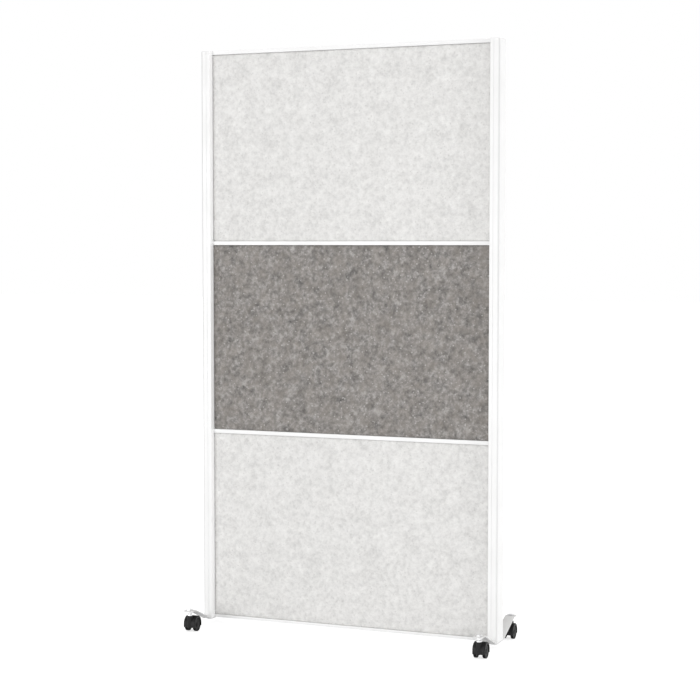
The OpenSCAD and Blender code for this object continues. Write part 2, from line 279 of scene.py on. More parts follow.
DUST_UPWARD_SPREAD = (0.35, 1.0, 0.0, 1.0)
DUST_PATCH_SPREAD = (0.35, 0.75, 0.2, 1.0)


def make_dust_group():
    """Dust that settles on what faces up, as a mask from 0 to 1."""
    group, given, result = new_group(
        "settled_dust",
        [("Amount", FLOAT, 0.3), ("Patch Size", FLOAT, 30.0 * MM)],
        [("Mask", FLOAT)],
    )
    facing = parts_of(group, new_node(group, "ShaderNodeNewGeometry").outputs["Normal"])
    upward = rescaled(group, facing["Z"], *DUST_UPWARD_SPREAD)
    patch = noise(group, object_point(group), given.outputs["Patch Size"], detail=4.0, roughness=0.6)
    patch_share = rescaled(group, patch, *DUST_PATCH_SPREAD)
    share = sums(group, "MULTIPLY", upward, patch_share)
    share = sums(group, "MULTIPLY", share, given.outputs["Amount"], clamp=True)
    feed(group, result, Mask=share)
    return group


STRAND_TURNS_DEG = (28.0, -51.0, 83.0)
STRAND_STRETCH = (0.14, 1.0, 1.0)
STRAND_SIZE = 1.3 * MM
STRAND_SPREAD = (0.35, 0.75, 0.0, 1.0)
STRAND_SHADE_SPREAD = (0.2, 1.0, 0.2, 0.0)
SWIRL_SCALE = 22.0
SWIRL_MIDDLE = (0.5, 0.5, 0.5)
SWIRL_REACH = (0.03, 0.03, 0.03)
TUFT_TILT_DEG = (37.0, 23.0, 52.0)
CLOUD_SHIFT = (3.7, 1.9, 5.3)
PALE_SPREAD = (0.0, 0.5, 0.0, 1.0)
DARK_SPREAD = (0.0, -0.5, 0.0, 1.0)
WARM_PATCH_SIZE = 30.0 * MM
WARM_SPREAD = (0.3, 0.7, 0.0, 1.0)
KNOT_SCALE = 90.0
KNOT_SPREAD = (0.12, 0.26, 1.0, 0.0)
KNOT_CHOICE = 0.55
FLECK_RELIEF = 0.6


def make_felt_group():
    """Needled felt: crossing fibres, flecks of lighter and darker wool, and soft clouds."""
    group, given, result = new_group(
        "needled_felt",
        [
            ("Ground Colour", COLOUR, (0.76, 0.75, 0.73, 1.0)),
            ("Pale Fibre", COLOUR, (0.88, 0.88, 0.87, 1.0)),
            ("Dark Fibre", COLOUR, (0.50, 0.49, 0.47, 1.0)),
            ("Warm Drift", COLOUR, (0.80, 0.77, 0.72, 1.0)),
            ("Fleck Size", FLOAT, 14.0 * MM),
            ("Fleck Contrast", FLOAT, 1.2),
            ("Cloud Size", FLOAT, 45.0 * MM),
            ("Cloud Contrast", FLOAT, 0.25),
            ("Warm Share", FLOAT, 0.3),
            ("Speck Colour", COLOUR, (0.6, 0.58, 0.56, 1.0)),
            ("Speck Share", FLOAT, 0.6),
        ],
        [("Color", COLOUR), ("Height", FLOAT)],
    )
    where = object_point(group)

    # The fibres lie across each other three ways, bent by a slow swirl.
    swirl = new_node(group, "ShaderNodeTexNoise")
    feed(group, swirl, Vector=where, Scale=SWIRL_SCALE, Detail=2.0)
    centred = vector_sums(group, "SUBTRACT", swirl.outputs["Color"], SWIRL_MIDDLE)
    bent = vector_sums(group, "MULTIPLY_ADD", centred, SWIRL_REACH, where)
    fibres = []
    for turn_deg in STRAND_TURNS_DEG:
        turned = new_node(group, "ShaderNodeMapping")
        turn = (0.0, math.radians(turn_deg), 0.0)
        feed(group, turned, Vector=bent, Rotation=turn, Scale=STRAND_STRETCH)
        strand = noise(group, turned.outputs[0], STRAND_SIZE, detail=2.0, roughness=0.55)
        fibres.append(rescaled(group, strand, *STRAND_SPREAD))
    strands = sums(group, "MAXIMUM", fibres[0], sums(group, "MAXIMUM", fibres[1], fibres[2]))

    # Flecks come where tufts of one wool lie together, and clouds where the blend drifts. Both
    # are turned out of the felt's plane, so that no rows show.
    tilt = tuple(math.radians(degrees) for degrees in TUFT_TILT_DEG)
    tilted = feed(group, new_node(group, "ShaderNodeMapping"), Vector=where, Rotation=tilt)
    tilted = tilted.outputs[0]
    shifted = vector_sums(group, "ADD", tilted, CLOUD_SHIFT)
    fleck = noise(group, tilted, given.outputs["Fleck Size"], detail=3.0, roughness=0.7)
    cloud = noise(group, shifted, given.outputs["Cloud Size"], detail=1.0)
    fleck_part = sums(group, "SUBTRACT", fleck, 0.5)
    fleck_part = sums(group, "MULTIPLY", fleck_part, given.outputs["Fleck Contrast"])
    cloud_part = sums(group, "SUBTRACT", cloud, 0.5)
    cloud_part = sums(group, "MULTIPLY", cloud_part, given.outputs["Cloud Contrast"])
    blend = sums(group, "ADD", fleck_part, cloud_part)
    pale_share = rescaled(group, blend, *PALE_SPREAD)
    dark_share = rescaled(group, blend, *DARK_SPREAD)
    drift = noise(group, shifted, WARM_PATCH_SIZE, detail=2.0, roughness=0.55)
    warm_share = rescaled(group, drift, *WARM_SPREAD)
    warm_share = sums(group, "MULTIPLY", warm_share, given.outputs["Warm Share"])

    tone = blended(group, dark_share, given.outputs["Ground Colour"], given.outputs["Dark Fibre"])
    tone = blended(group, pale_share, tone, given.outputs["Pale Fibre"])
    tone = blended(group, warm_share, tone, given.outputs["Warm Drift"])
    # Between the strands the felt is painted darker, as shade in the gaps between the fibres.
    strand_gap_shade = rescaled(group, strands, *STRAND_SHADE_SPREAD)
    tone = blended(group, strand_gap_shade, tone, given.outputs["Dark Fibre"])

    # A single knot of another wool lies here and there.
    knots = new_node(group, "ShaderNodeTexVoronoi", feature="F1")
    feed(group, knots, Vector=tilted, Scale=KNOT_SCALE)
    chosen = new_node(group, "ShaderNodeSeparateColor")
    link(group, knots.outputs["Color"], chosen.inputs[0])
    chosen = sums(group, "GREATER_THAN", chosen.outputs[0], KNOT_CHOICE)
    speck = rescaled(group, knots.outputs["Distance"], *KNOT_SPREAD)
    speck = sums(group, "MULTIPLY", speck, chosen)
    speck = sums(group, "MULTIPLY", speck, given.outputs["Speck Share"])
    tone = blended(group, speck, tone, given.outputs["Speck Colour"])
    height = sums(group, "MULTIPLY_ADD", fleck, FLECK_RELIEF, strands)
    feed(group, result, Color=tone, Height=height)
    return group


BLOTCH_SIZE = 7.0 * MM
BLOTCH_SPREAD = (0.45, 0.75, 0.0, 0.6)
SHEEN_SPREAD = (0.3, 0.7, -0.05, 0.07)


def make_grain_group():
    """The fine etched grain of a moulded part, with a slightly uneven sheen."""
    group, given, result = new_group(
        "moulded_grain",
        [
            ("Plastic Colour", COLOUR, (0.02, 0.02, 0.02, 1.0)),
            ("Worn Colour", COLOUR, (0.06, 0.06, 0.06, 1.0)),
            ("Grain Size", FLOAT, 0.5 * MM),
            ("Sheen Roughness", FLOAT, 0.42),
        ],
        [("Color", COLOUR), ("Roughness", FLOAT), ("Height", FLOAT)],
    )
    where = object_point(group)
    cells = new_node(group, "ShaderNodeTexVoronoi", feature="F1")
    cell_scale = sums(group, "DIVIDE", 1.0, given.outputs["Grain Size"])
    feed(group, cells, Vector=where, Scale=cell_scale)
    blotch = noise(group, where, BLOTCH_SIZE, detail=4.0, roughness=0.6)
    blotch_share = rescaled(group, blotch, *BLOTCH_SPREAD)
    tone = blended(group, blotch_share, given.outputs["Plastic Colour"], given.outputs["Worn Colour"])
    rough = rescaled(group, blotch, *SHEEN_SPREAD)
    rough = sums(group, "ADD", rough, given.outputs["Sheen Roughness"])
    feed(group, result, Color=tone, Roughness=rough, Height=cells.outputs["Distance"])
    return group


# The finishes, one for each kind of surface

COAT_PEEL_DEPTH = 0.06 * MM
COAT_DUST_COLOUR = (0.62, 0.60, 0.57, 1.0)
SCUFF_ROUGHENS = 0.25
COAT_DUST_ROUGHENS = 0.3
FELT_RELIEF = 0.6 * MM
PLASTIC_DUST_PATCH = 6.0 * MM
PLASTIC_DUST_ROUGHENS = 0.4
ZINC_BRIGHT = (0.90, 0.90, 0.91, 1.0)
ZINC_DULLER = (0.78, 0.785, 0.79, 1.0)
ZINC_TARNISH = (0.34, 0.33, 0.31, 1.0)
ZINC_SPANGLE_SCALE = 420.0
ZINC_SPANGLE_SPREAD = (0.1, 0.6, 0.0, 1.0)
ZINC_TARNISH_SIZE = 4.0 * MM
ZINC_TARNISH_SPREAD = (0.55, 0.8, 0.0, 0.5)
ZINC_ROUGHNESS = 0.3
ZINC_RELIEF = 0.03 * MM
BOARD_DARKER = (0.60, 0.59, 0.57, 1.0)
BOARD_PALER = (0.74, 0.73, 0.71, 1.0)
BOARD_CHIP_SIZE = 3.0 * MM
BOARD_CHIP_SPREAD = (0.35, 0.65, 0.0, 1.0)
BOARD_RELIEF = 0.2 * MM


def new_finish(name):
    finish = bpy.data.materials.new(name)
    finish.use_nodes = True
    tree = finish.node_tree
    tree.nodes.clear()
    shader = new_node(tree, "ShaderNodeBsdfPrincipled")
    out = new_node(tree, "ShaderNodeOutputMaterial")
    link(tree, shader.outputs[0], out.inputs["Surface"])
    return finish, tree, shader


def add_bump(tree, shader, height, depth):
    """Relief of depth metres from a height of 0 to 1."""
    bump = feed(tree, new_node(tree, "ShaderNodeBump"), Strength=1.0, Distance=depth, Height=height)
    link(tree, bump.outputs["Normal"], shader.inputs["Normal"])


def roughened(tree, rough, mask, amount):
    """The roughness, and more of it where the mask is."""
    return sums(tree, "MULTIPLY_ADD", mask, amount, rough, clamp=True)


def coated_finish(
    name, groups, colour, drift, roughness, run, scuff_colour, scuff_cover, dust, corner_shade=0.0
):
    finish, tree, shader = new_finish(name)
    # The corner share paints shade onto the outer upright corners.
    coat = place_group(
        tree,
        groups["coat"],
        Coat_Colour=colour,
        Drift_Colour=drift,
        Gloss_Roughness=roughness,
        Corner_Share=corner_shade,
    )
    scuffs = place_group(tree, groups["scuffs"], Run=run, Cover=scuff_cover).outputs["Mask"]
    dusting = place_group(tree, groups["dust"], Amount=dust).outputs["Mask"]
    tone = blended(tree, scuffs, coat.outputs["Color"], scuff_colour)
    tone = blended(tree, dusting, tone, COAT_DUST_COLOUR)
    rough = roughened(tree, coat.outputs["Roughness"], scuffs, SCUFF_ROUGHENS)
    rough = roughened(tree, rough, dusting, COAT_DUST_ROUGHENS)
    feed(tree, shader, Base_Color=tone, Roughness=rough)
    add_bump(tree, shader, coat.outputs["Height"], COAT_PEEL_DEPTH)
    return finish


def felt_finish(name, groups, ground, pale, dark, warm, contrasts, warm_share, speck, speck_share):
    finish, tree, shader = new_finish(name)
    felt = place_group(
        tree,
        groups["felt"],
        Ground_Colour=ground,
        Pale_Fibre=pale,
        Dark_Fibre=dark,
        Warm_Drift=warm,
        Fleck_Contrast=contrasts[0],
        Cloud_Contrast=contrasts[1],
        Warm_Share=warm_share,
        Speck_Colour=speck,
        Speck_Share=speck_share,
    )
    feed(
        tree,
        shader,
        Base_Color=felt.outputs["Color"],
        Roughness=0.95,
        Specular_IOR_Level=0.2,
        Sheen_Weight=0.15,
        Sheen_Roughness=0.6,
    )
    add_bump(tree, shader, felt.outputs["Height"], FELT_RELIEF)
    return finish


def plastic_finish(
    name, groups, colour, worn, grain_size, roughness, dust, dust_colour, depth=0.04 * MM, shine=0.5
):
    finish, tree, shader = new_finish(name)
    grain = place_group(
        tree,
        groups["grain"],
        Plastic_Colour=colour,
        Worn_Colour=worn,
        Grain_Size=grain_size,
        Sheen_Roughness=roughness,
    )
    dusting = place_group(tree, groups["dust"], Amount=dust, Patch_Size=PLASTIC_DUST_PATCH)
    dusting = dusting.outputs["Mask"]
    tone = blended(tree, dusting, grain.outputs["Color"], dust_colour)
    rough = roughened(tree, grain.outputs["Roughness"], dusting, PLASTIC_DUST_ROUGHENS)
    feed(tree, shader, Base_Color=tone, Roughness=rough, Specular_IOR_Level=shine)
    add_bump(tree, shader, grain.outputs["Height"], depth)
    return finish


def zinc_finish(groups):
    """Bright zinc plating: a grey metal with faint spangle and light tarnish."""
    finish, tree, shader = new_finish("bright_zinc")
    where = object_point(tree)
    spangle = new_node(tree, "ShaderNodeTexVoronoi", feature="F1")
    feed(tree, spangle, Vector=where, Scale=ZINC_SPANGLE_SCALE)
    spangle_share = rescaled(tree, spangle.outputs["Distance"], *ZINC_SPANGLE_SPREAD)
    tone = blended(tree, spangle_share, ZINC_BRIGHT, ZINC_DULLER)
    tarnish = noise(tree, where, ZINC_TARNISH_SIZE, detail=4.0, roughness=0.6)
    tarnish_share = rescaled(tree, tarnish, *ZINC_TARNISH_SPREAD)
    tone = blended(tree, tarnish_share, tone, ZINC_TARNISH)
    scuffs = place_group(
        tree, groups["scuffs"], Run=(1.0, 1.0, 0.3), Scuff_Size=0.8 * MM, Patch_Size=10.0 * MM
    )
    rough = roughened(tree, ZINC_ROUGHNESS, scuffs.outputs["Mask"], SCUFF_ROUGHENS)
    feed(tree, shader, Base_Color=tone, Metallic=1.0, Roughness=rough)
    add_bump(tree, shader, tarnish, ZINC_RELIEF)
    return finish


def board_finish():
    """The cut edge and face of the stiff fibre board behind the felts."""
    finish, tree, shader = new_finish("fibre_board")
    chips = noise(tree, object_point(tree), BOARD_CHIP_SIZE, detail=4.0, roughness=0.65)
    chip_share = rescaled(tree, chips, *BOARD_CHIP_SPREAD)
    tone = blended(tree, chip_share, BOARD_DARKER, BOARD_PALER)
    feed(tree, shader, Base_Color=tone, Roughness=0.8)
    add_bump(tree, shader, chips, BOARD_RELIEF)
    return finish


def make_finishes():
    groups = {
        "coat": make_coat_group(),
        "scuffs": make_scuff_group(),
        "dust": make_dust_group(),
        "felt": make_felt_group(),
        "grain": make_grain_group(),
    }
    along_x = (0.1, 1.0, 1.0)
    along_y = (1.0, 0.1, 1.0)
    along_z = (1.0, 1.0, 0.1)
    white_coat = {
        "colour": grey(0.86),
        "drift": (0.82, 0.82, 0.815, 1.0),
        "roughness": 0.36,
        "scuff_colour": (0.70, 0.70, 0.69, 1.0),
    }
    dust_on_black = (0.10, 0.097, 0.093, 1.0)
    return {
        # The posts' outer upright corners get painted shade.
        "post_coat": coated_finish(
            "white_post_coat", groups, run=along_z, scuff_cover=0.25, dust=0.0, corner_shade=0.66, **white_coat
        ),
        "rail_coat": coated_finish(
            "white_rail_coat", groups, run=along_x, scuff_cover=0.2, dust=0.1, **white_coat
        ),
        # The feet wear the posts' white powder coat, painted a darker grey to stand in for the shade on
        # their undersides.
        "foot_coat": coated_finish(
            "shaded_white_foot_coat",
            groups,
            colour=grey(0.69),
            drift=(0.65, 0.65, 0.645, 1.0),
            roughness=0.42,
            run=along_y,
            scuff_colour=(0.55, 0.55, 0.54, 1.0),
            scuff_cover=0.5,
            dust=0.35,
        ),
        "cap_plastic": plastic_finish(
            "white_cap_plastic",
            groups,
            colour=grey(0.84),
            worn=(0.78, 0.78, 0.77, 1.0),
            grain_size=0.6 * MM,
            roughness=0.5,
            dust=0.15,
            dust_colour=(0.60, 0.58, 0.55, 1.0),
        ),
        "light_felt": felt_finish(
            "light_grey_felt",
            groups,
            ground=(0.775, 0.768, 0.755, 1.0),
            pale=(0.95, 0.945, 0.93, 1.0),
            dark=(0.545, 0.54, 0.53, 1.0),
            warm=(0.80, 0.78, 0.745, 1.0),
            contrasts=(1.28, 0.4),
            warm_share=0.05,
            speck=(0.50, 0.49, 0.48, 1.0),
            speck_share=0.4,
        ),
        "dark_felt": felt_finish(
            "dark_grey_felt",
            groups,
            ground=(0.262, 0.249, 0.239, 1.0),
            pale=(0.485, 0.463, 0.449, 1.0),
            dark=(0.102, 0.098, 0.094, 1.0),
            warm=(0.32, 0.29, 0.26, 1.0),
            contrasts=(2.4, 0.66),
            warm_share=0.55,
            speck=(0.58, 0.56, 0.55, 1.0),
            speck_share=0.6,
        ),
        "core_board": board_finish(),
        "gasket_rubber": plastic_finish(
            "grey_gasket_rubber",
            groups,
            colour=grey(0.30),
            worn=(0.36, 0.36, 0.355, 1.0),
            grain_size=0.8 * MM,
            roughness=0.75,
            dust=0.0,
            dust_colour=grey(0.5),
        ),
        "zinc": zinc_finish(groups),
        "hood_nylon": plastic_finish(
            "black_hood_nylon",
            groups,
            colour=(0.006, 0.006, 0.0065, 1.0),
            worn=(0.013, 0.013, 0.0135, 1.0),
            grain_size=0.6 * MM,
            roughness=0.45,
            dust=0.05,
            dust_colour=dust_on_black,
            shine=0.26,
        ),
        "wheel_nylon": plastic_finish(
            "black_wheel_nylon",
            groups,
            colour=(0.002, 0.002, 0.0025, 1.0),
            worn=(0.005, 0.005, 0.0055, 1.0),
            grain_size=0.5 * MM,
            roughness=0.42,
            dust=0.02,
            dust_colour=dust_on_black,
            shine=0.12,
        ),
        "tyre": plastic_finish(
            "dark_tyre_rubber",
            groups,
            colour=(0.003, 0.003, 0.0035, 1.0),
            worn=(0.007, 0.0069, 0.0068, 1.0),
            grain_size=0.9 * MM,
            roughness=0.7,
            dust=0.04,
            dust_colour=(0.12, 0.117, 0.112, 1.0),
            depth=0.08 * MM,
            shine=0.1,
        ),
    }


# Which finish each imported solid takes, by the end of its name

NODE_FINISHES = (
    ("post_cap", "cap_plastic"),
    ("hole_plugs", "cap_plastic"),
    ("panel_gasket", "gasket_rubber"),
    ("foot_screws", "zinc"),
    ("rail_screws", "zinc"),
    ("lock_nuts", "zinc"),
    ("stem_clips", "zinc"),
    ("_stem", "zinc"),
    ("_axle", "zinc"),
    ("_housing", "hood_nylon"),
    ("_wheel", "wheel_nylon"),
    ("_tyre", "tyre"),
    ("_foot", "foot_coat"),
    ("_post", "post_coat"),
    ("rail_cover", "rail_coat"),
    ("_rail", "rail_coat"),
    ("panel_core", "core_board"),
    ("front_felt", "light_felt"),
    ("back_felt", "light_felt"),
)


def dress_nodes(finishes):
    for name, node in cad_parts.items():
        for ending, finish in NODE_FINISHES:
            if name.endswith(ending):
                if len(node.material_slots) == 0:
                    node.data.materials.append(finishes[finish])
                for place in node.material_slots:
                    place.material = finishes[finish]
                break
        else:
            raise RuntimeError("no finish for " + name)


# Helpers for pieces that modifiers and geometry nodes make

def finished_piece(carrier, name):
    """What a carrier's modifiers make of its mesh, as a plain piece in the carrier's stead."""
    bpy.context.view_layer.update()
    depsgraph = bpy.context.evaluated_depsgraph_get()
    mesh = bpy.data.meshes.new_from_object(
        carrier.evaluated_get(depsgraph), preserve_all_data_layers=True, depsgraph=depsgraph
    )
    mesh.name = name
    start = carrier.data
    bpy.data.objects.remove(carrier)
    bpy.data.meshes.remove(start)
    return add_object(name, mesh)


def new_geometry_tree(name, inputs):
    """A geometry tree with named sizes, and its two end nodes."""
    tree = bpy.data.node_groups.new(name, "GeometryNodeTree")
    tree.interface.new_socket("Geometry", in_out="OUTPUT", socket_type="NodeSocketGeometry")
    for label, kind, value in inputs:
        socket = tree.interface.new_socket(label, in_out="INPUT", socket_type=kind)
        if value is not None:
            socket.default_value = value
    return tree, new_node(tree, "NodeGroupInput"), new_node(tree, "NodeGroupOutput")


def end_geometry_tree(tree, geometry, material, result):
    """The last nodes of a geometry tree: no instance is left, and all takes one material."""
    solid = feed(tree, new_node(tree, "GeometryNodeRealizeInstances"), Geometry=geometry)
    dressed = new_node(tree, "GeometryNodeSetMaterial")
    feed(tree, dressed, Geometry=solid.outputs["Geometry"], Material=material)
    feed(tree, result, Geometry=dressed.outputs["Geometry"])


def grown(tree, values, name, finishers=()):
    """What a geometry tree makes with these values, as a plain piece. Each finisher is a
    modifier's kind and settings."""
    carrier = add_object(name + "_start", bpy.data.meshes.new(name + "_start"))
    growth = carrier.modifiers.new("growth", "NODES")
    growth.node_group = tree
    for item in tree.interface.items_tree:
        if item.item_type == "SOCKET" and item.in_out == "INPUT" and item.name in values:
            growth[item.identifier] = values[item.name]
    for kind, settings in finishers:
        extra = carrier.modifiers.new(kind.lower(), kind)
        for key, value in settings.items():
            setattr(extra, key, value)
    return finished_piece(carrier, name)


# Moulded and bent pieces with broken edges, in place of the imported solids' sharp ones

# The end of the solid's name, its slot, its finish, and how wide its edges are rounded
BROKEN_EDGES = (
    ("_housing", "caster_plastic", "hood_nylon", 0.7 * MM),
    ("_foot", "foot_coat", "foot_coat", 0.5 * MM),
)
SAME_POINT = 0.01 * MM
FLAT_ENOUGH_DEG = 0.5
SHARP_EDGE_DEG = 40.0
SMOOTH_UP_TO_DEG = 32.0
BROKEN_EDGE_STEPS = 2


def joined_copy(node):
    """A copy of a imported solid's mesh with its triangles joined into whole faces."""
    form = bmesh.new()
    form.from_mesh(node.data)
    bmesh.ops.remove_doubles(form, verts=form.verts, dist=SAME_POINT)
    bmesh.ops.dissolve_limit(
        form, angle_limit=math.radians(FLAT_ENOUGH_DEG), verts=form.verts, edges=form.edges
    )
    mesh = bpy.data.meshes.new(node.name + "_whole_faces")
    form.to_mesh(mesh)
    form.free()
    return mesh


def break_edges(node, name, width):
    """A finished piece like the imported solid, with its sharp edges rounded to width."""
    carrier = add_object(name + "_start", joined_copy(node))
    rounding = carrier.modifiers.new("rounding", "BEVEL")
    rounding.width = width
    rounding.segments = BROKEN_EDGE_STEPS
    rounding.limit_method = "ANGLE"
    rounding.angle_limit = math.radians(SHARP_EDGE_DEG)
    piece = finished_piece(carrier, name)
    piece.data.shade_smooth()
    piece.data.set_sharp_from_angle(angle=math.radians(SMOOTH_UP_TO_DEG))
    return piece


def make_broken_edges(finishes):
    for node_name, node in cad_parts.items():
        for ending, slot_name, finish, width in BROKEN_EDGES:
            if not node_name.endswith(ending):
                continue
            piece = break_edges(node, node_name + "_with_broken_edges", width)
            piece.data.materials.clear()
            piece.data.materials.append(finishes[finish])
            if ending == "_housing":
                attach(piece, node_name.replace("_housing", "_caster"))
            else:
                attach(piece, "frame")
            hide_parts(node_name)


# The felts: closed sheets of needled felt, bonded to both faces of each core

FELT_CELL = 7.0 * MM
FELT_LAYERS = 3
FELT_EDGE_ROUND = 3.0 * MM
FELT_EDGE_STEPS = 3
FELT_CUT_CORNER_DEG = 60.0
FELT_REACH = 1.4 * MM
FELT_WAVE = 0.35 * MM
FELT_WAVE_SIZE = 60.0 * MM
FELT_WAVE_MIDDLE = 0.6
FELT_EDGE_DROP = 2.2 * MM
FELT_EDGE_BAND = 13.0 * MM
FELT_FIRST_SEED = 1.0
FELT_SEED_STEP = 7.3


def from_rim(tree, size, place):
    """How far a point is from the nearer end of a side that is centred on 0."""
    half = sums(tree, "MULTIPLY", size, 0.5)
    return sums(tree, "SUBTRACT", half, sums(tree, "ABSOLUTE", place))


def felt_tree():
    """A felt sheet that stands in the XZ plane. Its bonded side is flat, and its free side is
    a little uneven and sinks towards the cut edges."""
    tree, given, result = new_geometry_tree(
        "felt_sheet",
        [
            ("Width", FLOAT, 0.9),
            ("Height", FLOAT, 0.57),
            ("Thickness", FLOAT, 0.009),
            ("Centre", VECTOR, None),
            ("Out Side", FLOAT, -1.0),
            ("Cell", FLOAT, FELT_CELL),
            ("Wave Height", FLOAT, FELT_WAVE),
            ("Wave Size", FLOAT, FELT_WAVE_SIZE),
            ("Edge Drop", FLOAT, FELT_EDGE_DROP),
            ("Edge Band", FLOAT, FELT_EDGE_BAND),
            ("Seed", FLOAT, 1.0),
            ("Felt", MATERIAL, None),
        ],
    )
    width = given.outputs["Width"]
    height = given.outputs["Height"]
    thickness = given.outputs["Thickness"]
    out_side = given.outputs["Out Side"]
    cell = given.outputs["Cell"]

    block = new_node(tree, "GeometryNodeMeshCube")
    feed(
        tree,
        block,
        Size=vector_of(tree, X=width, Y=thickness, Z=height),
        Vertices_X=sums(tree, "DIVIDE", width, cell),
        Vertices_Y=FELT_LAYERS,
        Vertices_Z=sums(tree, "DIVIDE", height, cell),
    )

    # The sheet sinks over a band along its cut edges.
    point = new_node(tree, "GeometryNodeInputPosition").outputs[0]
    place = parts_of(tree, point)
    from_side = from_rim(tree, width, place["X"])
    from_end = from_rim(tree, height, place["Z"])
    to_edge = sums(tree, "MINIMUM", from_side, from_end)
    edge_share = sums(tree, "DIVIDE", to_edge, given.outputs["Edge Band"], clamp=True)
    edge_fall = sums(tree, "SUBTRACT", 1.0, edge_share)
    edge_fall = sums(tree, "MULTIPLY", edge_fall, edge_fall)
    drop = sums(tree, "MULTIPLY", edge_fall, given.outputs["Edge Drop"])

    wave = new_node(tree, "ShaderNodeTexNoise", noise_dimensions="4D")
    wave_scale = sums(tree, "DIVIDE", 1.0, given.outputs["Wave Size"])
    feed(tree, wave, Vector=point, W=given.outputs["Seed"], Scale=wave_scale, Detail=3.0)
    ripple = sums(tree, "SUBTRACT", wave.outputs["Fac"], FELT_WAVE_MIDDLE)
    ripple = sums(tree, "MULTIPLY", ripple, given.outputs["Wave Height"])
    rise = sums(tree, "SUBTRACT", ripple, drop)

    # Only the free side moves. The middle layer moves half as far.
    on_free_side = sums(tree, "MULTIPLY", place["Y"], out_side)
    on_free_side = sums(tree, "DIVIDE", on_free_side, thickness)
    on_free_side = sums(tree, "ADD", on_free_side, 0.5, clamp=True)
    shift = sums(tree, "MULTIPLY", sums(tree, "MULTIPLY", rise, on_free_side), out_side)
    lifted = new_node(tree, "GeometryNodeSetPosition")
    feed(tree, lifted, Geometry=block.outputs["Mesh"], Offset=vector_of(tree, Y=shift))
    carried = new_node(tree, "GeometryNodeTransform")
    centre = given.outputs["Centre"]
    feed(tree, carried, Geometry=lifted.outputs["Geometry"], Translation=centre)
    smooth = new_node(tree, "GeometryNodeSetShadeSmooth")
    feed(tree, smooth, Geometry=carried.outputs["Geometry"])
    end_geometry_tree(tree, smooth.outputs["Geometry"], given.outputs["Felt"], result)
    return tree


def felt_shade(panel):
    return "dark_felt" if panel == "middle" else "light_felt"


def make_felts(finishes):
    tree = felt_tree()
    rounding = {
        "width": FELT_EDGE_ROUND,
        "segments": FELT_EDGE_STEPS,
        "limit_method": "ANGLE",
        "angle_limit": math.radians(FELT_CUT_CORNER_DEG),
    }
    seed = FELT_FIRST_SEED
    for panel in PANELS:
        shade = felt_shade(panel)
        for face in FACES:
            node = panel + "_" + face + "_felt"
            low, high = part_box(node)
            sides = high - low
            values = {
                "Width": sides.x + 2 * FELT_REACH,
                "Height": sides.z + 2 * FELT_REACH,
                "Thickness": sides.y,
                "Centre": (low + high) / 2,
                "Out Side": -1.0 if face == "front" else 1.0,
                "Seed": seed,
                "Felt": finishes[shade],
            }
            felt = grown(tree, values, panel + "_" + face + "_felt_sheet", [("BEVEL", rounding)])
            seed += FELT_SEED_STEP
            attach(felt, "frame")
            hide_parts(node)


# Loose fibres that stand a little out of each felt

FIBRE_DENSITY = 2200.0
FIBRE_SPAN = 6.0 * MM
FIBRE_ARCH = 2.2 * MM
FIBRE_CREST_ALONG = 0.6
FIBRE_CREST_ASIDE = 0.25
FIBRE_RADIUS = 0.06 * MM
FIBRE_STEPS = 4
FIBRE_SIDES = 3
FIBRE_SHORTEST = 0.6
FIBRE_LONGEST = 1.3
FIBRE_LENGTH_SEED_SHIFT = 17.0
FIBRE_SINK = 0.55 * MM
FIBRE_MARGIN = 8.0 * MM
FIBRE_FIRST_SEED = 11
FIBRE_SEED_STEP = 5


def random_value(tree, low, high, seed):
    """A random number between low and high for each point."""
    node = new_node(tree, "FunctionNodeRandomValue", data_type="FLOAT")
    ends = [socket for socket in node.inputs if socket.enabled]
    ends[0].default_value = low
    ends[1].default_value = high
    link(tree, seed, node.inputs["Seed"])
    return [socket for socket in node.outputs if socket.enabled][0]


